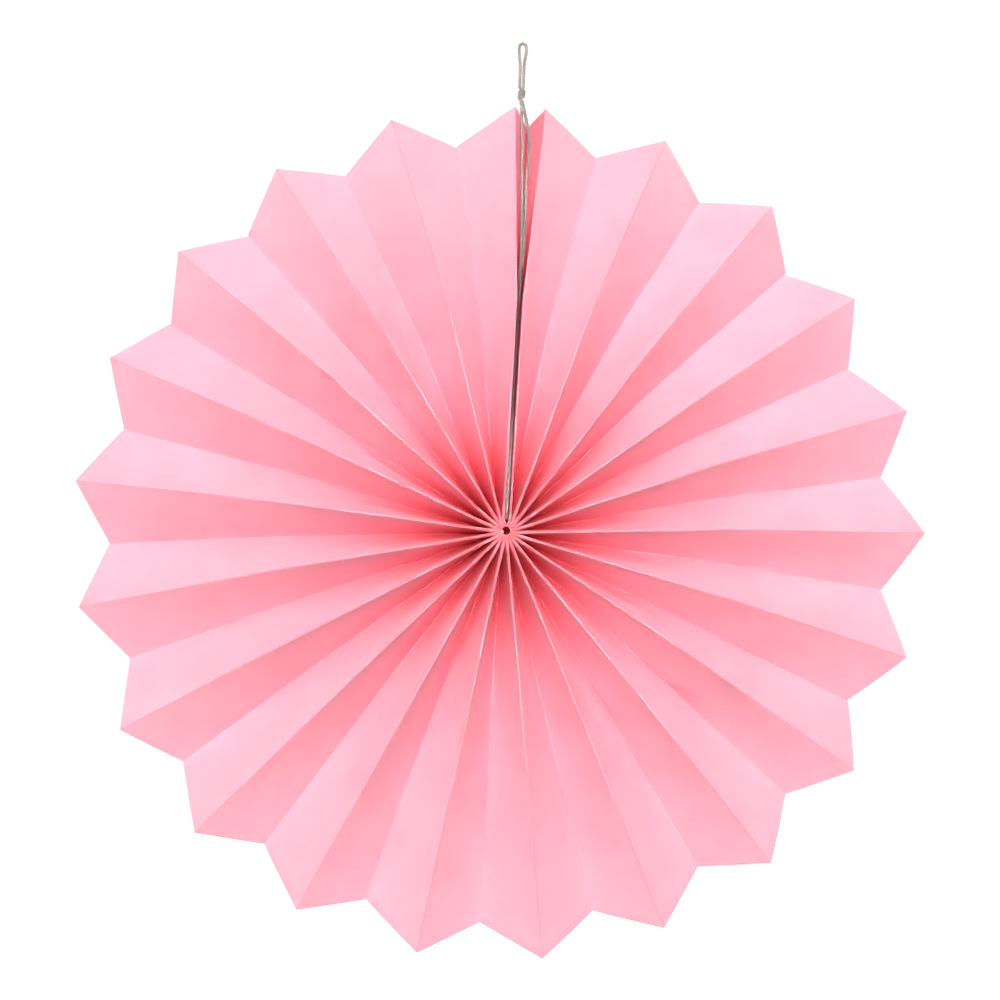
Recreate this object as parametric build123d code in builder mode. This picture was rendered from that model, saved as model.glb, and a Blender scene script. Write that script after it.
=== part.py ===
from build123d import *
from math import atan2, cos, degrees, hypot, pi, radians, sin, sqrt, tan
import os

# A hanging paper fan rosette: one strip of thin card, pleated and closed into a round, with its
# two end panels taped together, threaded on a string near the hub and hung from a loop above.
# Millimetres. The front of the rosette faces -Y and +Z is up. The origin is the point inside the
# top of the hanging loop where a hook bears.

# The round, seen from the front
tip_radius = 150.0
notch_radius = 138.6
hub_radius = 1.8
pleat_count = 21
rim_depth = 11.0
lean = 1.2

# The card
paper = 0.2
fold_width = 0.6
packed_fold_share = 0.45
threaded_radius = 10.4
inner_rows = 3
outer_rows = 2

# The seam, where the two end panels stand side by side
slit_radius = 4.0
slit_width = 1.6
slit_depth = 6.5
slit_end_radius = 80.0
slit_flare = 0.1
rim_gap = 10.9
rim_slit_depth = 0.6
hub_slit_gap = 0.3
cut_allowance = 4.0
tape_thickness = 0.1
tape_width = 10.0
tape_margin = 1.0
tape_start_radius = 9.0
tape_end_radius = 128.0

# The string: a ring round the hub, two strands up the seam, a knot and a hanging loop
string_diameter = 1.2
string_sides = 8
thread_ring_radius = 5.2
thread_ring_depth = -9.0
thread_ring_corners = 8
thread_hole_diameter = 2.1
hole_gap = 0.1
hole_sides = 12
strand_spacing = 1.3
bend_setback = 0.7
knot_height = 155.6
knot_depth = -1.2
knot_length = 5.2
knot_diameter = 3.4
knot_end_diameter = 2.7
knot_bite = 0.3
loop_height = 174.0
loop_half_width = 1.35
loop_leg_spacing = 1.3
bend_share = 0.45

# Values that follow from the sizes above
string_radius = string_diameter / 2
hang_drop = loop_height - string_radius
cut_radius = tip_radius + cut_allowance
fold_half = (fold_width - paper) / 2
lip_x = (tape_thickness + paper) / 2
slit_ridge_x = (slit_width + paper) / 2 + fold_half
rim_ridge_x = rim_gap / 2
rim_pitch_angle = (2 * pi - 2 * atan2(rim_ridge_x, tip_radius)) / pleat_count
rim_run = tip_radius * sin(rim_pitch_angle / 2) - 2 * fold_half
panel_width = hypot(rim_run, rim_depth) + 2 * fold_half
taped_width = tape_width + 2 * tape_margin
seam_stations = (
    (hub_radius, lip_x + hub_slit_gap / 2),
    (slit_radius, slit_ridge_x),
    (slit_end_radius, slit_ridge_x + slit_flare),
    (tip_radius, rim_ridge_x),
)
last_row_radius = notch_radius - cut_allowance

front_to_back = Vector(0, 1, 0)


def spread(start, end, count):
    """Radii shared out evenly from one to another, without the first."""
    return [start + (end - start) * step / count for step in range(1, count + 1)]


# The sheet is bent along these rows, which lie close together where its folds turn most
row_radii = [hub_radius, slit_radius, threaded_radius]
row_radii += spread(threaded_radius, slit_end_radius, inner_rows)
row_radii += spread(slit_end_radius, last_row_radius, outer_rows)
row_radii += [cut_radius]


def hub_point(across, depth, height):
    """A point measured from the middle of the hub."""
    return Vector(across, depth, height - hang_drop)


def polar_point(radius, angle):
    """A point of the rosette's middle plane; the angle runs clockwise from its seam."""
    turn = radians(angle + lean)
    return hub_point(radius * sin(turn), 0, radius * cos(turn))


def seam_ridge_x(radius):
    """Half the distance between the two ridges beside the seam."""
    for (r0, x0), (r1, x1) in zip(seam_stations, seam_stations[1:]):
        if radius <= r1 or r1 == tip_radius:
            return x0 + (x1 - x0) * (radius - r0) / (r1 - r0)


def ridge_angle(number, radius):
    """The ridges share out the round that the seam leaves, evenly at every radius."""
    seam_angle = degrees(atan2(seam_ridge_x(radius), radius))
    return seam_angle + number * (360 - 2 * seam_angle) / pleat_count


def ribbon(line):
    """Both faces of a sheet whose middle follows the line, mitred at its bends."""
    steps = [(x1 - x0, y1 - y0) for (x0, y0), (x1, y1) in zip(line, line[1:])]
    ways = [(dx / hypot(dx, dy), dy / hypot(dx, dy)) for dx, dy in steps]
    front, back = [], []
    for (x, y), (ax, ay), (bx, by) in zip(line, ways[:1] + ways, ways + ways[-1:]):
        reach = paper / 2 / (1 + ax * bx + ay * by)
        front.append((x + (ay + by) * reach, y - (ax + bx) * reach))
        back.append((x - (ay + by) * reach, y + (ax + bx) * reach))
    return front, back


def pleat_fold(half_pitch):
    """Half the width of a fold's flat band; near the hub the folds are packed narrower."""
    return min(fold_half, packed_fold_share * half_pitch)


def pleat_profile(radius):
    """Half a pleat's middle line, from the ridge at x = 0 to the valley at x = half_pitch.

    The panel between the two folds is as wide everywhere, so the pleats are deepest at the hub,
    where they are pressed shut, and grow shallow towards the rim as they open.
    """
    pitch_angle = ridge_angle(1, radius) - ridge_angle(0, radius)
    half_pitch = radius * sin(radians(pitch_angle) / 2)
    fold = pleat_fold(half_pitch)
    half_depth = sqrt((panel_width - 2 * fold) ** 2 - (half_pitch - 2 * fold) ** 2) / 2
    line = [
        (0, -half_depth),
        (fold, -half_depth),
        (half_pitch - fold, half_depth),
        (half_pitch, half_depth),
    ]
    return line, half_pitch, half_depth


def pleat_row(number, radius):
    """The front and back points of one pleat, ridge to ridge, at one radius."""
    left = polar_point(radius, ridge_angle(number, radius))
    right = polar_point(radius, ridge_angle(number + 1, radius))
    plane = Plane((left + right) / 2, x_dir=right - left, z_dir=(right - left).cross(front_to_back))
    half, half_pitch, _ = pleat_profile(radius)
    falling = [(x - half_pitch, y) for x, y in half[:-1]]
    rising = [(-x, y) for x, y in reversed(falling)]
    front, back = ribbon(falling + rising)
    return [plane.from_local_coords(p) for p in front], [plane.from_local_coords(p) for p in back]


def end_panel_line(radius):
    """An end panel's middle line, from the seam ridge back to its free edge.

    The two end panels first stand apart, for the string, then close on the tape between them.
    """
    _, half_pitch, half_depth = pleat_profile(radius)
    ridge_x = seam_ridge_x(radius)
    fold = pleat_fold(half_pitch)
    share = max(radius - slit_end_radius, 0) / (tip_radius - slit_end_radius)
    straight = slit_depth + (rim_slit_depth - slit_depth) * share
    slant = panel_width - fold - straight - taped_width
    closing = ridge_x - fold - lip_x
    tape_y = -half_depth + straight + sqrt(slant**2 - closing**2)
    return [
        (ridge_x, -half_depth),
        (ridge_x - fold, -half_depth),
        (ridge_x - fold, -half_depth + straight),
        (lip_x, tape_y),
        (lip_x, tape_y + taped_width),
    ]


def end_panel_row(side, radius):
    """The front and back points of an end panel at one radius, in clockwise order."""
    left = polar_point(radius, -degrees(atan2(seam_ridge_x(radius), radius)))
    right = polar_point(radius, degrees(atan2(seam_ridge_x(radius), radius)))
    plane = Plane((left + right) / 2, x_dir=right - left, z_dir=(right - left).cross(front_to_back))
    line = end_panel_line(radius)
    line = list(reversed(line)) if side > 0 else [(-x, y) for x, y in line]
    front, back = ribbon(line)
    return [plane.from_local_coords(p) for p in front], [plane.from_local_coords(p) for p in back]


def trimmed(inner, outer, plane_point, plane_normal):
    """Where the line from one point to the other meets a cutting plane."""
    step = outer - inner
    share = plane_normal.dot(plane_point - inner) / plane_normal.dot(step)
    return inner + step * share


def pleat_cut(number, column, columns):
    """The slanted cut of a panel's outer edge, from a tip to the notch beside it."""
    tip_number = number if column < columns / 2 else number + 1
    tip = polar_point(tip_radius, ridge_angle(tip_number, tip_radius))
    middle = (ridge_angle(number, tip_radius) + ridge_angle(number + 1, tip_radius)) / 2
    notch = polar_point(notch_radius, middle)
    return tip, (notch - tip).cross(front_to_back)


def end_panel_cut():
    """The same cut on an end panel, which stands along the seam."""
    _, _, half_depth = pleat_profile(tip_radius)
    across = polar_point(1, 90) - polar_point(0, 0)
    tip = polar_point(tip_radius, 0) - front_to_back * half_depth
    corner = polar_point(notch_radius, 0) + front_to_back * (panel_width - half_depth)
    return tip, (corner - tip).cross(across)


def sheet_rows():
    """Rows of points over the whole strip, front and back, from the hub out to the cut edge."""
    rows = []
    for radius in row_radii:
        pieces = [end_panel_row(1, radius)]
        pieces += [pleat_row(number, radius) for number in range(pleat_count)]
        pieces += [end_panel_row(-1, radius)]
        rows.append(pieces)
    rim = []
    for index, (inner_piece, outer_piece) in enumerate(zip(rows[-2], rows[-1])):
        faces = []
        for inner_side, outer_side in zip(inner_piece, outer_piece):
            side = []
            for column, (inner, outer) in enumerate(zip(inner_side, outer_side)):
                if 0 < index <= pleat_count:
                    cut = pleat_cut(index - 1, column, len(inner_side) - 1)
                else:
                    cut = end_panel_cut()
                side.append(trimmed(inner, outer, *cut))
            faces.append(side)
        rim.append(faces)
    rows[-1] = rim
    joined = []
    for pieces in rows:
        front = [p for piece in pieces for p in piece[0][:-1]] + [pieces[-1][0][-1]]
        back = [p for piece in pieces for p in piece[1][:-1]] + [pieces[-1][1][-1]]
        joined.append((front, back))
    return joined


def facets(a, b, c, d):
    """A flat four-sided facet, or two three-sided ones where its corners aren't in one plane."""
    normal = (c - a).cross(d - b).normalized()
    if abs(normal.dot(b - a)) < 1e-7 and abs(normal.dot(d - a)) < 1e-7:
        return [Face(Wire.make_polygon([a, b, c, d]))]
    if (c - a).length < (d - b).length:
        return [Face(Wire.make_polygon([a, b, c])), Face(Wire.make_polygon([a, c, d]))]
    return [Face(Wire.make_polygon([a, b, d])), Face(Wire.make_polygon([b, c, d]))]


def band(first, second):
    """Facets between two lines of points."""
    strips = zip(first, first[1:], second[1:], second)
    return [facet for corners in strips for facet in facets(*corners)]


def folded_skin():
    """Every facet of the strip: its front, its back and its four edges."""
    rows = sheet_rows()
    skin = band(*rows[0]) + band(*rows[-1])
    for (front, back), (next_front, next_back) in zip(rows, rows[1:]):
        skin += band(front, next_front) + band(back, next_back)
    for end in (0, -1):
        skin += band([front[end] for front, _ in rows], [back[end] for _, back in rows])
    return skin


def seam_point(across, depth, height):
    """A point measured from the middle of the hub, with its height along the leaning seam."""
    turn = radians(lean)
    return hub_point(
        across * cos(turn) + height * sin(turn), depth, height * cos(turn) - across * sin(turn)
    )


def ring_depth(angle):
    """The thread ring climbs back by one strand's spacing on its way round from the left strand."""
    return thread_ring_depth + strand_spacing * (0.5 - angle / 360)


def bend_radii(route):
    """The largest even bend that each corner's two runs allow."""
    runs = [(end - start).length for start, end in zip(route, route[1:])]
    radii = []
    for start, corner, end, before, after in zip(route, route[1:], route[2:], runs, runs[1:]):
        half_turn = radians((corner - start).get_angle(end - corner)) / 2
        radii.append(bend_share * min(before, after) / tan(half_turn))
    return radii


# The string holes, punched through both panels beside each ridge
with BuildPart() as string_holes:
    for number in range(pleat_count + 1):
        angle = ridge_angle(number, thread_ring_radius)
        centre = polar_point(thread_ring_radius, angle) + front_to_back * ring_depth(angle)
        across = polar_point(1, angle + 90) - polar_point(0, 0)
        with BuildSketch(Plane(centre, x_dir=front_to_back, z_dir=across)):
            RegularPolygon(thread_hole_diameter / 2, hole_sides)
        reach = thread_ring_radius * tan(pi / (pleat_count + 1)) - hole_gap / 2
        extrude(amount=reach, both=True)

# The pleated strip, one folded sheet
with BuildPart() as pleated_paper:
    add(Solid(Shell(folded_skin())))
    add(string_holes.part, mode=Mode.SUBTRACT)
pleated_paper.part.label = "pleated_paper"

# The tape that joins the two end panels, standing between their free edges
tape_edges = []
for radius in (tape_start_radius, slit_end_radius, tape_end_radius):
    free_edge_y = end_panel_line(radius)[-1][1]
    tape_edges.append((radius, free_edge_y - tape_margin))
tape_outline = tape_edges + [(radius, y - tape_width) for radius, y in reversed(tape_edges)]
with BuildPart() as seam_tape:
    seam_plane = Plane(polar_point(0, 0), x_dir=polar_point(1, 0) - polar_point(0, 0),
                       z_dir=(polar_point(1, 0) - polar_point(0, 0)).cross(front_to_back))
    with BuildSketch(seam_plane):
        with BuildLine():
            Polyline(*tape_outline, close=True)
        make_face()
    extrude(amount=tape_thickness / 2, both=True)
seam_tape.part.label = "seam_tape"

# The knot where the two strands meet
with BuildPart() as knot:
    with BuildSketch(Plane(hub_point(0, knot_depth, knot_height), x_dir=(1, 0, 0), z_dir=(0, -1, 0))):
        with BuildLine():
            end_radius = knot_end_diameter / 2
            Polyline((end_radius, -knot_length / 2), (0, -knot_length / 2), (0, knot_length / 2),
                     (end_radius, knot_length / 2))
            ThreePointArc((end_radius, -knot_length / 2), (knot_diameter / 2, 0),
                          (end_radius, knot_length / 2))
        make_face()
    revolve(axis=Axis(hub_point(0, knot_depth, knot_height), (0, 0, 1)))
knot.part.label = "knot"

# The string: down the seam, once round the hub through the holes, and up again behind itself
ring_height = thread_ring_radius
ring_corner_radius = thread_ring_radius / cos(pi / thread_ring_corners)
front_y = ring_depth(360)
back_y = ring_depth(0)
half_spacing = strand_spacing / 2
knot_bottom = knot_height - knot_length / 2 + knot_bite
knot_top = knot_height + knot_length / 2 - knot_bite
left_strand = [
    hub_point(0, knot_depth - half_spacing, knot_bottom),
    hub_point(0.3, -2.2 - half_spacing, 141),
    hub_point(0.5, -3.2 - half_spacing, 127),
    hub_point(0.95, -4.9 - half_spacing, 103),
    seam_point(0, -6.9 - half_spacing, 75),
    seam_point(0, -8.2 - half_spacing, 40),
    seam_point(0, -8.9 - half_spacing, 17),
]
right_strand = [
    seam_point(0, -8.9 + half_spacing, 17),
    seam_point(0, -8.2 + half_spacing, 40),
    seam_point(0, -6.9 + half_spacing, 75),
    hub_point(2.9, -4.9 + half_spacing, 103),
    hub_point(3.1, -3.2 + half_spacing, 127),
    hub_point(2.2, -2.2 + half_spacing, 141),
    hub_point(0.3, knot_depth + half_spacing, knot_bottom),
]
ring = []
for corner in range(thread_ring_corners):
    angle = 360 - (corner + 0.5) * 360 / thread_ring_corners
    ring.append(polar_point(ring_corner_radius, angle) + front_to_back * ring_depth(angle))
down_bend = [
    seam_point(0, front_y, ring_height + bend_setback),
    seam_point(-bend_setback, front_y, ring_height),
]
up_bend = [
    seam_point(bend_setback, back_y, ring_height),
    seam_point(0, back_y, ring_height + bend_setback),
]
string_route = left_strand + down_bend + ring + up_bend + right_strand
string_radii = bend_radii(string_route)
with BuildPart() as hanging_string:
    with BuildLine() as string_line:
        FilletPolyline(*string_route, radius=string_radii)
    with BuildSketch(Plane(string_line.line @ 0, x_dir=front_to_back, z_dir=string_line.line % 0)):
        RegularPolygon(string_radius, string_sides, major_radius=False, rotation=180 / string_sides)
    sweep()
    add(knot.part, mode=Mode.SUBTRACT)
hanging_string.part.label = "hanging_string"

# The loop above the knot, the same string
loop_route = [
    hub_point(-loop_leg_spacing / 2, knot_depth, knot_top),
    hub_point(-loop_half_width, 0, knot_top + 5),
    hub_point(-loop_half_width, 0, loop_height),
    hub_point(loop_half_width, 0, loop_height),
    hub_point(loop_half_width, 0, knot_top + 5),
    hub_point(loop_leg_spacing / 2, knot_depth, knot_top),
]
loop_radii = bend_radii(loop_route)
with BuildPart() as string_loop:
    with BuildLine() as loop_line:
        FilletPolyline(*loop_route, radius=loop_radii)
    with BuildSketch(Plane(loop_line.line @ 0, x_dir=front_to_back, z_dir=loop_line.line % 0)):
        RegularPolygon(string_radius, string_sides, major_radius=False, rotation=180 / string_sides)
    sweep()
    add(knot.part, mode=Mode.SUBTRACT)
string_loop.part.label = "string_loop"

os.makedirs("parts", exist_ok=True)
export_step(pleated_paper.part, "parts/pleated_paper.step")
export_step(seam_tape.part, "parts/seam_tape.step")
export_step(hanging_string.part, "parts/hanging_string.step")
export_step(knot.part, "parts/knot.step")
export_step(string_loop.part, "parts/string_loop.step")

section = string_sides * string_radius**2 * tan(pi / string_sides)
for name, line, part, radii in (
    ("string", string_line.line, hanging_string.part, string_radii),
    ("loop", loop_line.line, string_loop.part, loop_radii),
):
    length = sum(edge.length for edge in line.edges())
    print(name, "length", round(length, 1), "volume ratio", round(part.volume / section / length, 4))
    print(name, "bend radii", [round(r, 1) for r in radii])
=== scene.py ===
import math
import random

import bpy
from mathutils import Matrix, Vector


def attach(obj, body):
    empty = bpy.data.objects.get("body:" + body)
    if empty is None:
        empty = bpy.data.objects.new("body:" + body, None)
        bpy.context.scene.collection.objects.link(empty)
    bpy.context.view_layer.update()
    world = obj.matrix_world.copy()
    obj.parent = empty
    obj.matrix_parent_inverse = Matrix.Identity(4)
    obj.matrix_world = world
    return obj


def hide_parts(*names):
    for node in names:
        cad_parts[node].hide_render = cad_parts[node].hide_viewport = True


# A hanging paper fan rosette: a pleated sheet of pink card, closed into a round by tape behind
# its seam, on a twisted cotton string. The string rings the hub inside the pleats and runs up the
# seam to an overhand knot and a loop. The front faces -Y, and the origin is the point inside the
# top of the loop where a hook bears. Sizes are in millimetres, which MM makes Blender's metres.

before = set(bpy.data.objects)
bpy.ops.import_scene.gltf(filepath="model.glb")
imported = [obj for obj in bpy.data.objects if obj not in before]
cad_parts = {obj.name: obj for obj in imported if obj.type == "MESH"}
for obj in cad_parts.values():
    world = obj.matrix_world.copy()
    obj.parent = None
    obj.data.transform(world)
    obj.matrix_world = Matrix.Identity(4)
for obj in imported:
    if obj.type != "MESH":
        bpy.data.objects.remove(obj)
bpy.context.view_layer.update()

MM = 0.001

# The round and the card, as in the part's source
tip_radius = 150.0
notch_radius = 138.6
pleat_count = 21
lean = 1.2
paper = 0.2
fold_width = 0.6
packed_fold_share = 0.45
rim_depth = 11.0
cut_allowance = 4.0

# The seam and its tape
slit_radius = 4.0
slit_width = 1.6
slit_depth = 6.5
slit_end_radius = 80.0
slit_flare = 0.1
rim_gap = 10.9
rim_slit_depth = 0.6
tape_thickness = 0.1
tape_width = 10.0
tape_margin = 1.0

# The string
string_diameter = 1.2
thread_ring_depth = -9.0
thread_ring_corners = 8
strand_spacing = 1.3
bend_setback = 0.7
knot_height = 155.6
knot_depth = -1.2
knot_length = 5.2
knot_bite = 0.3
loop_height = 174.0
loop_half_width = 1.35
loop_leg_spacing = 1.3

# The hub's opening and the string's ring are a little smaller than the solids', so that the round
# folds close to the small hole of the photograph
hub_radius = 1.45
thread_ring_radius = 4.2

# Values that follow from the sizes above
hang_drop = loop_height - string_diameter / 2
fold_half = (fold_width - paper) / 2
lip_x = (tape_thickness + paper) / 2
slit_ridge_x = (slit_width + paper) / 2 + fold_half
rim_ridge_x = rim_gap / 2
rim_pitch_angle = (2 * math.pi - 2 * math.atan2(rim_ridge_x, tip_radius)) / pleat_count
rim_run = tip_radius * math.sin(rim_pitch_angle / 2) - 2 * fold_half
panel_width = math.hypot(rim_run, rim_depth) + 2 * fold_half
taped_width = tape_width + 2 * tape_margin

# Half the distance between the two ridges beside the seam, from the hub's opening outwards
seam_stations = (
    (hub_radius, 0.2),
    (2.1, 0.26),
    (3.2, 0.85),
    (slit_radius, slit_ridge_x),
    (slit_end_radius, slit_ridge_x + slit_flare),
    (tip_radius, rim_ridge_x),
)


def mixed(a, b, share):
    return a + (b - a) * share


def clamped(value, low=0, high=1):
    return min(max(value, low), high)


def hub_point(across, depth, height):
    """A point measured from the middle of the hub, in metres."""
    return Vector((across, depth, height - hang_drop)) * MM


def seam_point(across, depth, height):
    """A point measured from the hub along the leaning seam, in metres."""
    turn = math.radians(lean)
    return hub_point(
        across * math.cos(turn) + height * math.sin(turn),
        depth,
        height * math.cos(turn) - across * math.sin(turn),
    )


def polar_point(radius, angle, depth=0.0):
    """A point at an angle clockwise from the seam, seen from the front, in metres."""
    turn = math.radians(angle + lean)
    return hub_point(radius * math.sin(turn), depth, radius * math.cos(turn))


# The camera: a little to the fan's left and below its middle, rolled as the photograph is. Its
# distance, the width of its frame and the place it looks at are in metres.

CAMERA_DISTANCE = 0.75
CAMERA_AZIMUTH = -4.0
CAMERA_HEIGHT = -2.0
CAMERA_ROLL = -2.3
FRAME_WIDTH = 0.352
VIEW_CENTRE = Vector((-0.002, -0.004, -0.1625))
SENSOR_WIDTH = 36


def set_camera():
    lens = bpy.data.cameras.new("camera")
    camera = bpy.data.objects.new("camera", lens)
    bpy.context.collection.objects.link(camera)
    turn = math.radians(CAMERA_AZIMUTH)
    rise = math.radians(CAMERA_HEIGHT)
    level = math.cos(rise)
    away = Vector((math.sin(turn) * level, -math.cos(turn) * level, math.sin(rise)))
    roll = Matrix.Rotation(math.radians(-CAMERA_ROLL), 3, "Z")
    camera.location = VIEW_CENTRE + away * CAMERA_DISTANCE
    camera.rotation_euler = ((-away).to_track_quat("-Z", "Y").to_matrix() @ roll).to_euler()
    lens.sensor_width = SENSOR_WIDTH
    lens.lens = SENSOR_WIDTH * CAMERA_DISTANCE / FRAME_WIDTH
    bpy.context.scene.camera = camera


set_camera()


# The string: the route is the cord's in the part's source, with points moved and added to follow
# the photograph. None of it leaves the solid string by more than two diameters.

half_spacing = strand_spacing / 2
knot_bottom = knot_height - knot_length / 2 + knot_bite
knot_top = knot_height + knot_length / 2 - knot_bite


def ring_depth(angle):
    """The ring is one turn of a shallow helix, so that its ends pass one behind the other."""
    return thread_ring_depth + strand_spacing * (0.5 - angle / 360)


def string_route():
    ring_corner_radius = thread_ring_radius / math.cos(math.pi / thread_ring_corners)
    ring = []
    for corner in range(thread_ring_corners):
        angle = 360 - (corner + 0.5) * 360 / thread_ring_corners
        ring.append(polar_point(ring_corner_radius, angle, ring_depth(angle)))
    left_strand = [
        hub_point(0.1, knot_depth - half_spacing, knot_bottom),
        hub_point(0.7, -2.2 - half_spacing, 141),
        hub_point(1.2, -3.4 - half_spacing, 127),
        hub_point(1.7, -5.2 - half_spacing, 108),
        seam_point(0, -6.2 - half_spacing, 90),
        seam_point(0, -6.4 - half_spacing, 75),
        seam_point(0, -7.0 - half_spacing, 40),
        seam_point(0, -8.9 - half_spacing, 15),
    ]
    right_strand = [
        seam_point(0, -8.9 + half_spacing, 15),
        seam_point(0, -7.0 + half_spacing, 40),
        seam_point(0, -6.4 + half_spacing, 75),
        seam_point(0.3, -6.2 + half_spacing, 88),
        hub_point(3.0, -5.2 + half_spacing, 106),
        hub_point(2.8, -3.4 + half_spacing, 122),
        hub_point(3.7, -2.6 + half_spacing, 136),
        hub_point(3.1, -2.2 + half_spacing, 143),
        hub_point(0.5, knot_depth + half_spacing, knot_bottom),
    ]
    down_bend = [
        seam_point(0, ring_depth(360), thread_ring_radius + bend_setback),
        seam_point(-bend_setback, ring_depth(360), thread_ring_radius),
    ]
    up_bend = [
        seam_point(bend_setback, ring_depth(0), thread_ring_radius),
        seam_point(0, ring_depth(0), thread_ring_radius + bend_setback),
    ]
    return left_strand + down_bend + ring + up_bend + right_strand


def loop_route():
    leg = loop_leg_spacing / 2
    return [
        hub_point(-leg, knot_depth, knot_top),
        hub_point(-leg, -0.3, knot_top + 4),
        hub_point(-leg, 0, loop_height - 7),
        hub_point(-loop_half_width, 0, loop_height - 3),
        hub_point(-0.9 * loop_half_width, 0, loop_height),
        hub_point(0.9 * loop_half_width, 0, loop_height),
        hub_point(loop_half_width, 0, loop_height - 3),
        hub_point(leg, 0, loop_height - 7),
        hub_point(leg, -0.3, knot_top + 4),
        hub_point(leg, knot_depth, knot_top),
    ]


# The knot: both strands turn once round themselves and come up through the turn

KNOT_STRAND_RADIUS = 0.52
KNOT_SPREAD = 0.4
KNOT_TURN = (
    (-0.35, 0.1, -1.5),
    (-0.95, -0.2, -0.2),
    (-0.45, -0.95, 0.95),
    (0.75, -0.75, 1.1),
    (1.1, 0.25, 0.3),
    (0.35, 1.0, -0.7),
    (-0.75, 0.75, -1.1),
    (-0.9, -0.5, -1.0),
    (0.1, -1.0, -0.5),
    (0.55, -0.2, 0.7),
    (0.3, 0.1, 1.6),
)


def knot_route(side):
    """One strand's points, from its end below the knot to its leg of the loop."""
    centre = Vector((0, knot_depth, knot_height))
    below = [
        Vector((0, knot_depth + side * half_spacing, knot_bottom - 1.2)),
        Vector((0, knot_depth + side * half_spacing * 0.8, knot_bottom)),
    ]
    turn = [centre + Vector(p) + Vector((0, 0, side * KNOT_SPREAD)) for p in KNOT_TURN]
    above = [
        Vector((side * loop_leg_spacing / 2, knot_depth, knot_top)),
        Vector((side * (loop_leg_spacing / 2 + 0.12), knot_depth + 0.2, knot_top + 0.8)),
    ]
    return [hub_point(*p) for p in below + turn + above]


# Twisted string along a route. These lengths are in metres.

SPLINE_STEPS = 12
STRING_STEP = 0.5 * MM
LOOP_STEP = 0.4 * MM
PLY_STEP = 0.33 * MM
PLY_COUNT = 3
PLY_SIDES = 8
PLY_SHARE = 0.6
TWIST_PITCH = 3.6 * MM
TWIST_DRIFT = 0.25
TWIST_DRIFT_LENGTH = 5.1 * MM
PLY_SWELL = 0.05
PLY_SWELL_LENGTH = 1.7 * MM


def spline_line(name, route):
    """The smooth line of a NURBS spline through a route, as a list of points."""
    curve = bpy.data.curves.new(name, "CURVE")
    curve.dimensions = "3D"
    curve.resolution_u = SPLINE_STEPS
    spline = curve.splines.new("NURBS")
    spline.points.add(len(route) - 1)
    for point, place in zip(spline.points, route):
        point.co = (*place, 1)
    spline.order_u = 3
    spline.use_endpoint_u = True
    line = bpy.data.objects.new(name, curve)
    bpy.context.collection.objects.link(line)
    bpy.context.view_layer.update()
    mesh = bpy.data.meshes.new_from_object(line)
    points = [v.co.copy() for v in mesh.vertices]
    bpy.data.meshes.remove(mesh)
    bpy.data.objects.remove(line)
    return points


def even_line(points, step):
    """The same line with points about a step apart."""
    lengths = [0.0]
    for a, b in zip(points, points[1:]):
        lengths.append(lengths[-1] + (b - a).length)
    count = round(lengths[-1] / step)
    even, index = [], 0
    for i in range(count + 1):
        target = lengths[-1] * i / count
        while index < len(points) - 2 and lengths[index + 1] < target:
            index += 1
        share = (target - lengths[index]) / (lengths[index + 1] - lengths[index])
        even.append(points[index].lerp(points[index + 1], min(share, 1)))
    return even


def line_frames(points):
    """Each point of a line, with its way on and two side directions that don't twist about it."""
    frames = []
    side = None
    for i, point in enumerate(points):
        way = (points[min(i + 1, len(points) - 1)] - points[max(i - 1, 0)]).normalized()
        if side is None:
            side = way.cross(Vector((0, 1, 0)))
        side = (side - way * side.dot(way)).normalized()
        frames.append((point, way, side, way.cross(side)))
    return frames


def add_plies(verts, faces, line, radius, seed):
    """The plies of a twisted string, wound round a line, with closed ends."""
    chance = random.Random(seed)
    frames = line_frames(even_line(line, PLY_STEP))
    ply_radius = radius * PLY_SHARE
    offset = radius - ply_radius
    for ply in range(PLY_COUNT):
        first = len(verts)
        drift = chance.uniform(0, math.tau)
        for i, (point, way, side, other) in enumerate(frames):
            travel = i * PLY_STEP
            turn = math.tau * (travel / TWIST_PITCH + ply / PLY_COUNT)
            turn += TWIST_DRIFT * math.sin(travel / TWIST_DRIFT_LENGTH + drift)
            out = side * math.cos(turn) + other * math.sin(turn)
            round_way = way.cross(out)
            swell = 1 + PLY_SWELL * math.sin(travel / PLY_SWELL_LENGTH + drift * 2)
            centre = point + out * offset
            for k in range(PLY_SIDES):
                a = math.tau * k / PLY_SIDES
                verts.append(centre + (out * math.cos(a) + round_way * math.sin(a)) * ply_radius * swell)
        rings = len(frames)
        for i in range(rings - 1):
            for k in range(PLY_SIDES):
                a = first + i * PLY_SIDES + k
                b = first + i * PLY_SIDES + (k + 1) % PLY_SIDES
                faces.append((a, b, b + PLY_SIDES, a + PLY_SIDES))
        last = first + (rings - 1) * PLY_SIDES
        faces.append(tuple(first + k for k in reversed(range(PLY_SIDES))))
        faces.append(tuple(last + k for k in range(PLY_SIDES)))


def twisted_piece(name, lines, radius, seed):
    """One object with a twisted string of a radius in millimetres along each of the lines."""
    verts, faces = [], []
    for number, line in enumerate(lines):
        add_plies(verts, faces, line, radius * MM, seed + number)
    mesh = bpy.data.meshes.new(name)
    mesh.from_pydata(verts, [], faces)
    mesh.polygons.foreach_set("use_smooth", [True] * len(mesh.polygons))
    mesh.update()
    piece = bpy.data.objects.new(name, mesh)
    bpy.context.collection.objects.link(piece)
    return piece


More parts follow.
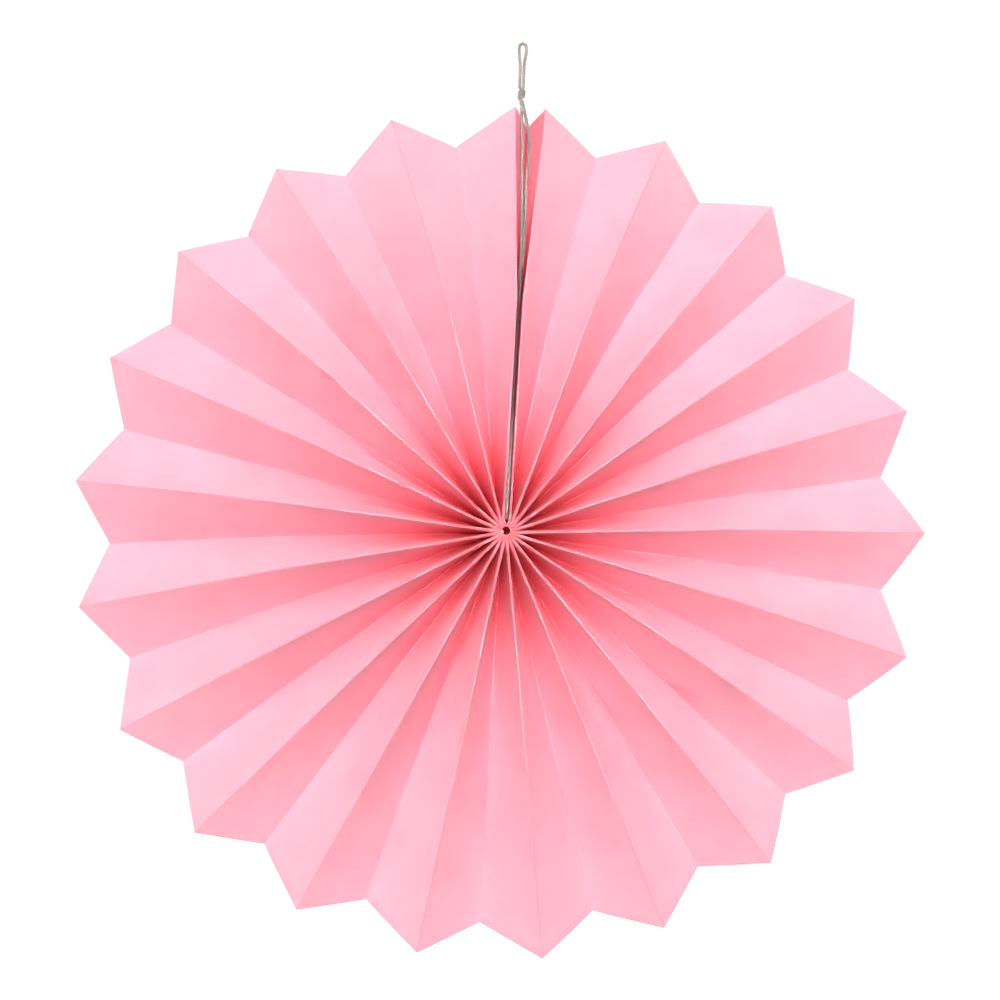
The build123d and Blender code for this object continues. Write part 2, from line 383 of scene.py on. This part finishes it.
string_points = even_line(spline_line("string_line", string_route()), STRING_STEP)
loop_points = even_line(spline_line("loop_line", loop_route()), LOOP_STEP)
knot_lines = [spline_line("knot_line", knot_route(side)) for side in (-1, 1)]
string_piece = twisted_piece("string_twine", [string_points], string_diameter / 2, seed=3)
loop_piece = twisted_piece("loop_twine", [loop_points], string_diameter / 2, seed=5)
knot_piece = twisted_piece("overhand_knot", knot_lines, KNOT_STRAND_RADIUS, seed=7)


# The pleated sheet, with the small errors of folding by hand. They grow away from the hub.

ridge_error = 0.14
valley_error = 0.45
panel_bow = 0.3
ridge_error_radius = 60
panel_error_start = 15
panel_error_reach = 85

folding = random.Random(21)
inner_ridge_errors = [folding.uniform(-ridge_error, ridge_error) for _ in range(pleat_count - 1)]
ridge_errors = [0.0] + inner_ridge_errors + [0.0]
valley_errors = [folding.uniform(-valley_error, valley_error) for _ in range(pleat_count)]
panel_bows = [folding.uniform(-panel_bow, panel_bow) for _ in range(2 * pleat_count)]


def seam_ridge_x(radius):
    """Half the distance between the two ridges beside the seam."""
    for (r0, x0), (r1, x1) in zip(seam_stations, seam_stations[1:]):
        if radius <= r1 or r1 == tip_radius:
            return x0 + (x1 - x0) * (radius - r0) / (r1 - r0)


def even_ridge_angle(number, radius):
    """The ridges share out the round that the seam leaves, evenly at every radius."""
    seam_angle = math.degrees(math.atan2(seam_ridge_x(radius), radius))
    return seam_angle + number * (360 - 2 * seam_angle) / pleat_count


def ridge_angle(number, radius):
    """A ridge's angle from the seam, as it was folded."""
    return even_ridge_angle(number, radius) + ridge_errors[number] * min(radius / ridge_error_radius, 1)


def panel_sizes(radius):
    """Half the pitch, half a fold's width and half the depth of the pleats at one radius."""
    pitch_angle = even_ridge_angle(1, radius) - even_ridge_angle(0, radius)
    half_pitch = radius * math.sin(math.radians(pitch_angle) / 2)
    fold = min(fold_half, packed_fold_share * half_pitch)
    half_depth = math.sqrt((panel_width - 2 * fold) ** 2 - (half_pitch - 2 * fold) ** 2) / 2
    return half_pitch, fold, half_depth


# The folds are round. Near the hub the ridges swell to fill the whole front, and touch.

FOLD_STEPS = 5
PANEL_STEPS = 6
BEND_STEPS = 5
SLOPE_PASSES = 4
LIP_STEPS = 4
hub_ridge_rounding = 0.52
hub_rounding_radius = 5
ridge_rounding = 0.3
ridge_rounding_radius = 14
valley_rounding = 0.22
fold_clearance = 0.13
seam_fold_share = 0.6
straight_shares = (0.2, 0.4)
slant_shares = (0.3, 0.7)
tape_bend = 1.5


def half_pleat(radius):
    """A panel's middle line from its ridge, x = 0, to its valley, x = half the pitch."""
    half_pitch, fold, half_depth = panel_sizes(radius)
    hub_share = clamped((ridge_rounding_radius - radius) / (ridge_rounding_radius - hub_rounding_radius))
    ridge = min(mixed(ridge_rounding, hub_ridge_rounding, hub_share), half_pitch - fold_clearance)
    valley = min(valley_rounding, fold)
    slope = 0.0
    for _ in range(SLOPE_PASSES):
        run = half_pitch - (ridge + valley) * math.cos(slope)
        rise = 2 * half_depth - (ridge + valley) * (1 - math.sin(slope))
        slope = math.atan2(run, rise)
    turns = [(math.pi / 2 - slope) * i / FOLD_STEPS for i in range(FOLD_STEPS + 1)]
    front = [(ridge * math.sin(a), ridge * (1 - math.cos(a)) - half_depth) for a in turns]
    back = [
        (half_pitch - valley * math.sin(a), half_depth - valley * (1 - math.cos(a)))
        for a in reversed(turns)
    ]
    (x0, y0), (x1, y1) = front[-1], back[0]
    shares = [i / PANEL_STEPS for i in range(1, PANEL_STEPS)]
    panel = [(mixed(x0, x1, share), mixed(y0, y1, share)) for share in shares]
    return front + panel + back, half_pitch, half_depth


def bend(a, b, c):
    """Points on a soft bend from a to c, which turns at b."""
    points = []
    for i in range(BEND_STEPS + 1):
        t = i / BEND_STEPS
        u = 1 - t
        points.append(tuple(u * u * p + 2 * u * t * q + t * t * r for p, q, r in zip(a, b, c)))
    return points


def end_panel(radius):
    """An end panel's middle line, from the middle of the seam ridge to its taped edge."""
    half_pitch, fold, half_depth = panel_sizes(radius)
    side_x = seam_ridge_x(radius) - fold
    share = max(radius - slit_end_radius, 0) / (tip_radius - slit_end_radius)
    straight = mixed(slit_depth, rim_slit_depth, share)
    slant = panel_width - fold - straight - taped_width
    corner_y = -half_depth + straight
    tape_y = corner_y + math.sqrt(slant**2 - (side_x - lip_x) ** 2)
    fold_depth = min(fold, straight * seam_fold_share)
    turns = [math.pi / 2 * i / FOLD_STEPS for i in range(FOLD_STEPS + 1)]
    fold_line = [
        (side_x + fold * (1 - math.sin(a)), -half_depth + fold_depth * (1 - math.cos(a)))
        for a in turns
    ]
    on_straight = [(side_x, mixed(fold_depth, straight, share) - half_depth) for share in straight_shares]
    on_slant = [(mixed(side_x, lip_x, share), mixed(corner_y, tape_y, share)) for share in slant_shares]
    on_lip = (lip_x, tape_y + tape_bend)
    slant_line = bend(on_straight[1], (side_x, corner_y), on_slant[0])
    slant_line += bend(on_slant[1], (lip_x, tape_y), on_lip)
    steps = [i / LIP_STEPS for i in range(1, LIP_STEPS + 1)]
    lip_line = [(lip_x, mixed(on_lip[1], tape_y + taped_width, step)) for step in steps]
    return fold_line + on_straight[:1] + slant_line + lip_line


def pleat_row(number, radius):
    """One pleat's points from ridge to ridge at one radius, ends included."""
    left = polar_point(radius, ridge_angle(number, radius)) / MM
    right = polar_point(radius, ridge_angle(number + 1, radius)) / MM
    middle = (left + right) / 2
    across = (right - left).normalized()
    half, half_pitch, half_depth = half_pleat(radius)
    stretch = (right - left).length / (2 * half_pitch)
    reach = clamped((radius - panel_error_start) / panel_error_reach)
    panels = []
    for side in (-1, 1):
        bow = panel_bows[2 * number + (side > 0)] * reach
        panel = []
        for x, y in half:
            share = (y + half_depth) / (2 * half_depth)
            shift = valley_errors[number] * reach * share + bow * math.sin(math.pi * share)
            place = side * (half_pitch - x) * stretch + shift
            panel.append(middle + across * place + Vector((0, y, 0)))
        panels.append(panel)
    return panels[0] + panels[1][-2::-1]


def end_row(side, radius):
    """An end panel's points at one radius, on the right of the seam first."""
    across = polar_point(1, 90) / MM - polar_point(0, 0) / MM
    up = polar_point(radius, 0) / MM
    points = [up + across * (x * side) + Vector((0, y, 0)) for x, y in end_panel(radius)]
    return list(reversed(points)) if side > 0 else points


def fold_marks():
    """For each column of the strip: 1 on a ridge, -1 on a valley, 0 between."""
    panel = 2 * (FOLD_STEPS + 1) + PANEL_STEPS - 1
    end_count = len(end_panel(tip_radius))
    marks = [0.0] * end_count
    for number in range(pleat_count):
        pleat = [0.0] * (2 * panel - 1)
        for i in range(FOLD_STEPS + 1):
            strength = 1 - i / FOLD_STEPS
            for ridge in (i, -1 - i):
                pleat[ridge] = strength
            for valley in (panel - 1 - i, panel - 1 + i):
                pleat[valley] = -strength
        marks[-1:] = pleat
    return marks + [0.0] * (end_count - 1)


def cut_plane(index, first_half):
    """The plane that trims a panel's outer edge: a point on it and its normal."""
    if 0 < index <= pleat_count:
        number = index - 1
        tip_number = number if first_half else number + 1
        tip = polar_point(tip_radius, ridge_angle(tip_number, tip_radius)) / MM
        middle = (ridge_angle(number, tip_radius) + ridge_angle(number + 1, tip_radius)) / 2
        notch = polar_point(notch_radius, middle) / MM
        return tip, (notch - tip).cross(Vector((0, 1, 0)))
    half_depth = panel_sizes(tip_radius)[2]
    across = polar_point(1, 90) / MM - polar_point(0, 0) / MM
    tip = polar_point(tip_radius, 0, -half_depth) / MM
    corner = polar_point(notch_radius, 0, panel_width - half_depth) / MM
    return tip, (corner - tip).cross(across)


# The rows that the sheet is bent along lie close together where it turns most. The last ones,
# past CUT_START, are spread between there and the slanted cut.

ROW_RADII = (
    [hub_radius, 1.8, 2.1, 2.6, 3.2, 4.0, 5.2, 6.5, 8.0, 10.0, 12.5, 15.0, 18.0, 21.5]
    + [25.0, 29.0, 33.0, 37.0, 41.0, 45.0, 50.0, 55.0, 61.0, 67.0, 73.0, 80.0, 87.0, 94.0]
    + [101.0, 108.0, 115.0, 122.0, 128.0, 133.0, 137.5, 141.0, 144.5, 147.5, 150.5]
    + [tip_radius + cut_allowance]
)
CUT_ROWS = 6
CUT_START = len(ROW_RADII) - 1 - CUT_ROWS


def strip_columns():
    """Each column of the strip as its points from the hub outwards, and the row that the cut meets."""
    rows = []
    for radius in ROW_RADII:
        pleats = [pleat_row(number, radius) for number in range(pleat_count)]
        rows.append([end_row(1, radius)] + pleats + [end_row(-1, radius)])
    columns = []
    for index in range(pleat_count + 2):
        count = len(rows[0][index])
        last = index == pleat_count + 1
        for column in range(count if last else count - 1):
            line = [row[index][column] for row in rows]
            point, normal = cut_plane(index, column < count / 2)
            for i, (a, b) in enumerate(zip(line, line[1:])):
                da, db = normal.dot(a - point), normal.dot(b - point)
                if da * db <= 0 and da != db:
                    cut_row = i + da / (da - db)
                    break
            columns.append((line, cut_row))
    return columns


def place_on(line, position):
    i = min(int(position), len(line) - 2)
    return line[i].lerp(line[i + 1], position - i)


# The shade between the pleats and in the seam, which is painted into the card's colour

painted_shade_reach = 70.0
slit_shade_gain = 2.6
slit_shade_most = 0.7
slit_shade_end = 125.0
slit_shade_fade = 40.0
slit_shade_least = 0.2
slit_start = 2.0
slit_side_spare = 0.05


def in_slit(place, radius):
    """Whether a point stands between the two ridges of the seam."""
    turn = math.radians(lean)
    height = place.z + hang_drop
    across = place.x * math.cos(turn) - height * math.sin(turn)
    return height > 0 and radius > slit_start and abs(across) < seam_ridge_x(radius) - slit_side_spare


def mark_depth(mesh):
    """How far in each point lies between the pleats from its own side, and how near the hub, as masks for
    the painted shade.
    """
    half = panel_width * MM / 2
    count = len(mesh.vertices) // 2
    ridge_column = len(end_panel(tip_radius)) - 1
    first_is_front = mesh.vertices[ridge_column].co.y < mesh.vertices[ridge_column + count].co.y
    depths, closeness = [], []
    for vertex in mesh.vertices:
        radius = math.hypot(vertex.co.x, vertex.co.z + hang_drop * MM) / MM
        share = clamped((vertex.co.y + half) / (2 * half))
        in_front = (vertex.index < count) == first_is_front
        if not in_front:
            share = 1 - share
        near = max(1 - radius / painted_shade_reach, 0) ** 3
        depth = share * near
        # The seam's slit gets a stronger painted shade, which fades out towards the rim
        if in_front and in_slit(vertex.co / MM, radius):
            narrow = clamped((slit_shade_end - radius) / slit_shade_fade, slit_shade_least)
            depth = max(depth, min(share * slit_shade_gain, slit_shade_most) * narrow)
        depths.append(depth)
        closeness.append(near)
    mesh.attributes.new("painted_pleat_shade", "FLOAT", "POINT").data.foreach_set("value", depths)
    mesh.attributes.new("near_hub", "FLOAT", "POINT").data.foreach_set("value", closeness)


# The hub's edge is drawn in towards the back, up to this many times its first rows' distance
HUB_BACK_PULL = 1.7
SMOOTH_ANGLE = 50


def pleated_sheet():
    """A grid folded into the round, trimmed along its outer edge and given the card's thickness."""
    columns = strip_columns()
    marks = fold_marks()
    rows = len(ROW_RADII)
    across, along = len(columns) - 1, rows - 1
    bpy.ops.object.select_all(action="DESELECT")
    bpy.ops.mesh.primitive_grid_add(x_subdivisions=across, y_subdivisions=along, size=1)
    sheet = bpy.context.object
    sheet.name = "card_pleats"
    mesh = sheet.data
    grid = {(round((v.co.x + 0.5) * across), round((v.co.y + 0.5) * along)): v for v in mesh.vertices}
    creases = [0.0] * len(mesh.vertices)
    rims = [0.0] * len(mesh.vertices)
    for c, (line, cut_row) in enumerate(columns):
        back_share = clamped(line[0].y / panel_width + 0.5)
        line[0] += (line[0] - line[1]) * HUB_BACK_PULL * back_share
        for r in range(rows):
            position = r
            if r > CUT_START:
                position = CUT_START + (cut_row - CUT_START) * (r - CUT_START) / (along - CUT_START)
            vertex = grid[(c, r)]
            vertex.co = place_on(line, position) * MM
            creases[vertex.index] = marks[c]
        rims[vertex.index] = 1.0
    mesh.attributes.new("crease", "FLOAT", "POINT").data.foreach_set("value", creases)
    mesh.attributes.new("rim", "FLOAT", "POINT").data.foreach_set("value", rims)
    shell = sheet.modifiers.new("thickness", "SOLIDIFY")
    shell.thickness = paper * MM
    shell.offset = 0
    bpy.ops.object.modifier_apply(modifier="thickness")
    bpy.ops.object.shade_smooth_by_angle(angle=math.radians(SMOOTH_ANGLE))
    mark_depth(mesh)
    return sheet


sheet = pleated_sheet()


# What the materials share

def new_material(name):
    material = bpy.data.materials.new(name)
    material.use_nodes = True
    tree = material.node_tree
    return material, tree, tree.nodes["Principled BSDF"]


def object_place(tree):
    return tree.nodes.new("ShaderNodeTexCoord").outputs["Object"]


def attribute(tree, name):
    node = tree.nodes.new("ShaderNodeAttribute")
    node.attribute_name = name
    return node.outputs["Fac"]


def noise(tree, place, scale, detail, distortion=0.0):
    """A noise from 0 to 1; the scale is in features a metre."""
    node = tree.nodes.new("ShaderNodeTexNoise")
    node.inputs["Scale"].default_value = scale
    node.inputs["Detail"].default_value = detail
    node.inputs["Distortion"].default_value = distortion
    tree.links.new(place, node.inputs["Vector"])
    return node.outputs["Fac"]


def in_range(tree, value, low, high, to_low, to_high):
    """A value's share between low and high, spread between two others, each a number or a socket."""
    node = tree.nodes.new("ShaderNodeMapRange")
    tree.links.new(value, node.inputs["Value"])
    for name, end in (("From Min", low), ("From Max", high), ("To Min", to_low), ("To Max", to_high)):
        if isinstance(end, (int, float)):
            node.inputs[name].default_value = end
        else:
            tree.links.new(end, node.inputs[name])
    return node.outputs["Result"]


def tinted(tree, share, below, above):
    """A colour between two, each a colour or a socket."""
    node = tree.nodes.new("ShaderNodeMix")
    node.data_type = "RGBA"
    tree.links.new(share, node.inputs["Factor"])
    for socket, colour in ((node.inputs["A"], below), (node.inputs["B"], above)):
        if isinstance(colour, tuple):
            socket.default_value = (*colour, 1)
        else:
            tree.links.new(colour, socket)
    return node.outputs["Result"]


def raised(tree, height, strength, distance):
    """The normal of a surface with a small relief; the distance is in metres."""
    node = tree.nodes.new("ShaderNodeBump")
    node.inputs["Strength"].default_value = strength
    node.inputs["Distance"].default_value = distance
    tree.links.new(height, node.inputs["Height"])
    return node.outputs["Normal"]


def paper_grain():
    """A group that gives the fibres and the cloudiness of paper, and its surface as a normal."""
    group = bpy.data.node_groups.new("paper_grain", "ShaderNodeTree")
    group.interface.new_socket("Place", in_out="INPUT", socket_type="NodeSocketVector")
    for name in ("Fibres", "Clouds"):
        group.interface.new_socket(name, in_out="OUTPUT", socket_type="NodeSocketFloat")
    group.interface.new_socket("Normal", in_out="OUTPUT", socket_type="NodeSocketVector")
    place = group.nodes.new("NodeGroupInput").outputs["Place"]
    result = group.nodes.new("NodeGroupOutput")
    fibres = noise(group, place, scale=1300, detail=5, distortion=2.5)
    clouds = noise(group, place, scale=60, detail=3)
    felt = noise(group, place, scale=420, detail=4, distortion=0.8)
    relief = 0.06 * MM
    height = group.nodes.new("ShaderNodeMath")
    height.operation = "ADD"
    group.links.new(fibres, height.inputs[0])
    group.links.new(felt, height.inputs[1])
    group.links.new(fibres, result.inputs["Fibres"])
    group.links.new(clouds, result.inputs["Clouds"])
    group.links.new(raised(group, height.outputs[0], 0.35, relief), result.inputs["Normal"])
    return group


GRAIN = paper_grain()


def add_grain(tree):
    node = tree.nodes.new("ShaderNodeGroup")
    node.node_tree = GRAIN
    tree.links.new(object_place(tree), node.inputs["Place"])
    return node.outputs


# The card: its own pinks; painted shade that reddens it near the hub and between the pleats,
# standing in for the shade and the light passed from panel to panel there; and the painted shade
# of its folds, each far from the hub and near it

CARD_PINK = (0.93, 0.375, 0.455)
PALE_CARD_PINK = (0.95, 0.4, 0.48)
FIBRE_PINK = (0.97, 0.5, 0.57)
CUT_EDGE_PINK = (0.98, 0.6, 0.66)
HUB_PAINTED_SHADE_PINK = (0.9, 0.24, 0.29)
PLEAT_PAINTED_SHADE_RED = (0.87, 0.045, 0.08)
DEEPEST_PAINTED_SHADE_RED = (0.45, 0.01, 0.02)
RIDGE_PAINTED_SHADE_PINK = (0.88, 0.25, 0.295)
HUB_RIDGE_PAINTED_SHADE_PINK = (0.88, 0.13, 0.155)
VALLEY_PAINTED_SHADE_RED = (0.62, 0.16, 0.21)
HUB_VALLEY_PAINTED_SHADE_RED = (0.3, 0.04, 0.06)


def pink_card():
    """Card dyed through, with faint clouds and fibres, and painted shade that makes it redder between the
    pleats, near the hub and on its folds.
    """
    material, tree, shader = new_material("pink_card")
    grain = add_grain(tree)
    crease = attribute(tree, "crease")
    near_hub = attribute(tree, "near_hub")
    painted_pleat_shade = attribute(tree, "painted_pleat_shade")
    rim = attribute(tree, "rim")
    clouds = in_range(tree, grain["Clouds"], 0.35, 0.65, 0, 1)
    colour = tinted(tree, clouds, CARD_PINK, PALE_CARD_PINK)
    fibres = in_range(tree, grain["Fibres"], 0.55, 0.75, 0, 0.3)
    colour = tinted(tree, fibres, colour, FIBRE_PINK)
    # Painted shade: the card is tinted a darker pink towards the hub, where the pleats close up
    colour = tinted(tree, in_range(tree, near_hub, 0, 0.55, 0, 0.85), colour, HUB_PAINTED_SHADE_PINK)
    # Painted shade: redder and darker the further a point lies in between the pleats and in the seam
    colour = tinted(tree, in_range(tree, painted_pleat_shade, 0, 0.55, 0, 1), colour, PLEAT_PAINTED_SHADE_RED)
    colour = tinted(tree, in_range(tree, painted_pleat_shade, 0.45, 0.75, 0, 1), colour, DEEPEST_PAINTED_SHADE_RED)
    # Painted shade on the ridges: their crests are darkened, most near the hub
    ridge = tinted(tree, in_range(tree, near_hub, 0, 0.3, 0, 1), RIDGE_PAINTED_SHADE_PINK, HUB_RIDGE_PAINTED_SHADE_PINK)
    colour = tinted(tree, in_range(tree, crease, 0.1, 0.9, 0, 0.85), colour, ridge)
    # Painted shade in the valleys: darker, and more strongly near the hub
    valley = tinted(tree, in_range(tree, near_hub, 0, 0.2, 0, 1), VALLEY_PAINTED_SHADE_RED, HUB_VALLEY_PAINTED_SHADE_RED)
    valley_shade_share = in_range(tree, near_hub, 0, 0.2, 0.3, 0.9)
    colour = tinted(tree, in_range(tree, crease, -0.1, -0.8, 0, valley_shade_share), colour, valley)
    colour = tinted(tree, in_range(tree, rim, 0.9, 1, 0, 0.25), colour, CUT_EDGE_PINK)
    tree.links.new(colour, shader.inputs["Base Color"])
    tree.links.new(in_range(tree, grain["Fibres"], 0.3, 0.7, 0.72, 0.88), shader.inputs["Roughness"])
    tree.links.new(grain["Normal"], shader.inputs["Normal"])
    shader.inputs["Specular IOR Level"].default_value = 0.22
    return material


TAPE_CREAM = (0.82, 0.78, 0.72)
PALE_TAPE_CREAM = (0.9, 0.87, 0.82)
TAPE_FIBRE = (0.96, 0.94, 0.9)


def paper_tape():
    """Thin paper tape, paler than the card."""
    material, tree, shader = new_material("paper_tape")
    grain = add_grain(tree)
    colour = tinted(tree, grain["Clouds"], TAPE_CREAM, PALE_TAPE_CREAM)
    colour = tinted(tree, in_range(tree, grain["Fibres"], 0.5, 0.8, 0, 0.3), colour, TAPE_FIBRE)
    tree.links.new(colour, shader.inputs["Base Color"])
    tree.links.new(in_range(tree, grain["Fibres"], 0.3, 0.7, 0.55, 0.75), shader.inputs["Roughness"])
    tree.links.new(grain["Normal"], shader.inputs["Normal"])
    shader.inputs["Specular IOR Level"].default_value = 0.3
    return material


COTTON_GREY = (0.32, 0.27, 0.25)
PALE_COTTON_GREY = (0.41, 0.35, 0.32)
COTTON_FIBRE = (0.52, 0.46, 0.42)
PAINTED_SHADE_COTTON = (0.1, 0.022, 0.032)
painted_shade_string_radii = (18, 45, 80, 118)


def cotton():
    """Undyed cotton, uneven along its length, with painted shade where it lies inside the seam."""
    material, tree, shader = new_material("cotton_string")
    place = object_place(tree)
    lengths = noise(tree, place, scale=380, detail=3)
    fibres = noise(tree, place, scale=5200, detail=4, distortion=1.5)
    colour = tinted(tree, in_range(tree, lengths, 0.35, 0.65, 0, 1), COTTON_GREY, PALE_COTTON_GREY)
    colour = tinted(tree, in_range(tree, fibres, 0.5, 0.7, 0, 0.5), colour, COTTON_FIBRE)
    # Painted shade: darker between these heights above the hub, where the string lies in the seam's shade
    split = tree.nodes.new("ShaderNodeSeparateXYZ")
    tree.links.new(place, split.inputs["Vector"])
    height = split.outputs["Z"]
    near, dark, pale, out = [hub_point(0, 0, radius).z for radius in painted_shade_string_radii]
    entered = in_range(tree, height, near, dark, 0.1, 0.92)
    inside = in_range(tree, height, pale, out, entered, 0)
    colour = tinted(tree, inside, colour, PAINTED_SHADE_COTTON)
    tree.links.new(colour, shader.inputs["Base Color"])
    tree.links.new(in_range(tree, fibres, 0.3, 0.7, 0.8, 0.98), shader.inputs["Roughness"])
    tree.links.new(raised(tree, fibres, 0.6, 0.08 * MM), shader.inputs["Normal"])
    shader.inputs["Specular IOR Level"].default_value = 0.15
    return material


sheet.data.materials.clear()
sheet.data.materials.append(pink_card())
cotton_finish = cotton()
for piece in (string_piece, loop_piece, knot_piece):
    piece.data.materials.append(cotton_finish)
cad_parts["seam_tape"].material_slots[0].material = paper_tape()


# What each piece rides on and stands for, and what it is made of

for piece, slot_name, node in (
    (sheet, "pink_card", "pleated_paper"),
    (string_piece, "string", "hanging_string"),
    (loop_piece, "string", "string_loop"),
    (knot_piece, "string", "knot"),
):
    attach(piece, "root")
    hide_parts(node)


# The room: a pale floor, a white surround that lights faintly, and soft lights, which face a point
# above the hub. Other places and sizes here are in metres, powers in watts, spreads in degrees.

FLOOR_HEIGHT = -0.75
FLOOR_SIZE = 8
FLOOR_GREY = (0.9, 0.9, 0.9, 1)
WHITE = (1, 1, 1, 1)
SURROUND_LIGHT = 0.06
SURROUND_SEEN = 1.05
LIT_POINT = hub_point(0, 0, 26)
LIGHTS = (
    # name, place, size, power, spread
    ("front", (-0.05, -2.3, -0.05), 0.5, 0.86, 16),
    ("soft_front", (-0.3, -2.3, 0.3), 1.6, 16, 180),
    ("top", (-0.05, -1.5, 1.4), 0.5, 0.3, 16),
    ("left", (-1.5, -1.5, -0.1), 1.0, 4.5, 180),
    ("right", (1.5, -1.5, -0.1), 1.0, 3.5, 180),
    ("behind", (0.5, 2.2, 0.5), 1.6, 45, 180),
)


def set_surround():
    """The surround is seen white, and gives less light than that would."""
    world = bpy.data.worlds.new("studio")
    bpy.context.scene.world = world
    world.use_nodes = True
    nodes, links = world.node_tree.nodes, world.node_tree.links
    surround = nodes["Background"]
    surround.inputs["Color"].default_value = WHITE
    ray = nodes.new("ShaderNodeLightPath")
    level = nodes.new("ShaderNodeMapRange")
    level.inputs["To Min"].default_value = SURROUND_LIGHT
    level.inputs["To Max"].default_value = SURROUND_SEEN
    links.new(ray.outputs["Is Camera Ray"], level.inputs["Value"])
    links.new(level.outputs["Result"], surround.inputs["Strength"])


def add_floor():
    bpy.ops.object.select_all(action="DESELECT")
    bpy.ops.mesh.primitive_plane_add(size=FLOOR_SIZE, location=(0, 0, FLOOR_HEIGHT))
    floor = bpy.context.object
    floor.name = "floor"
    floor.visible_diffuse = False
    material, _, shader = new_material("pale_floor")
    shader.inputs["Base Color"].default_value = FLOOR_GREY
    shader.inputs["Emission Color"].default_value = WHITE
    shader.inputs["Emission Strength"].default_value = 1.0
    floor.data.materials.append(material)


def add_light(name, place, size, power, spread):
    light = bpy.data.lights.new(name, "AREA")
    light.shape = "DISK"
    light.energy = power
    light.size = size
    light.spread = math.radians(spread)
    lamp = bpy.data.objects.new(name, light)
    bpy.context.collection.objects.link(lamp)
    lamp.location = place
    lamp.rotation_euler = (LIT_POINT - Vector(place)).to_track_quat("-Z", "Y").to_euler()


bpy.context.scene.view_settings.view_transform = "Standard"
set_surround()
add_floor()
for light in LIGHTS:
    add_light(*light)
